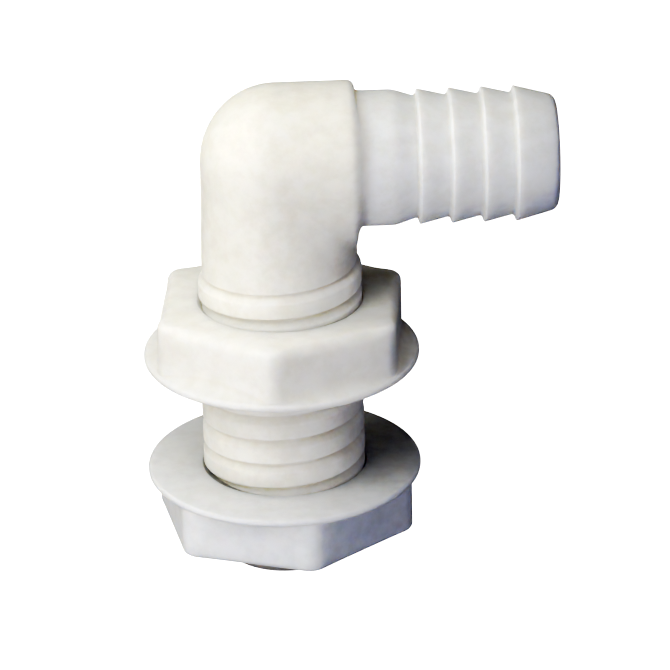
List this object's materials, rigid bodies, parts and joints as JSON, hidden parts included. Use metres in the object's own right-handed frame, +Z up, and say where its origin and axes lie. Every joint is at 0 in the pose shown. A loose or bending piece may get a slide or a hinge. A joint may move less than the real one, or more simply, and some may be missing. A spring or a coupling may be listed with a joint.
{
  "type": "elbow thru hull fitting",
  "caption": "Moulded nylon elbow thru hull fitting: threaded hollow stem with flanged hex nuts that clamp a hull, and a barbed hose tail at right angles.",
  "frame": {"origin": "centre of the stem's open lower end", "axes": "+Z runs up the stem towards the elbow, +X along the hose tail towards its free end"},
  "size_m": [0.0666, 0.0444, 0.0807],
  "materials": {
    "nylon": "satin moulded natural nylon"
  },
  "bodies": {
    "elbow": {"elbow_body": "nylon"},
    "upper_carrier": {"upper_nut_carrier": "nylon"},
    "upper_nut": {"upper_nut": "nylon"},
    "lower_carrier": {"lower_nut_carrier": "nylon"},
    "lower_nut": {"lower_nut": "nylon"}
  },
  "joints": [
    {"name": "upper_nut_travel", "type": "slide", "parent": "elbow", "child": "upper_carrier", "axis": [0, 0, 1], "range_m": [-0.0086, 0.0065]},
    {"name": "upper_nut_spin", "type": "hinge", "parent": "upper_carrier", "child": "upper_nut", "pos_m": [0, 0, 0.0396], "axis": [0, 0, 1], "range_deg": [-720, 540]},
    {"name": "lower_nut_travel", "type": "slide", "parent": "elbow", "child": "lower_carrier", "axis": [0, 0, 1], "range_m": [-0.0171, 0.0086]},
    {"name": "lower_nut_spin", "type": "hinge", "parent": "lower_carrier", "child": "lower_nut", "pos_m": [0, 0, 0.0106], "axis": [0, 0, 1], "range_deg": [-1440, 720]}
  ],
  "couplings": [
    {"joint": "upper_nut_travel", "follows": "upper_nut_spin", "m_per_rad": 0.00067376},
    {"joint": "lower_nut_travel", "follows": "lower_nut_spin", "m_per_rad": 0.00067376}
  ]
}
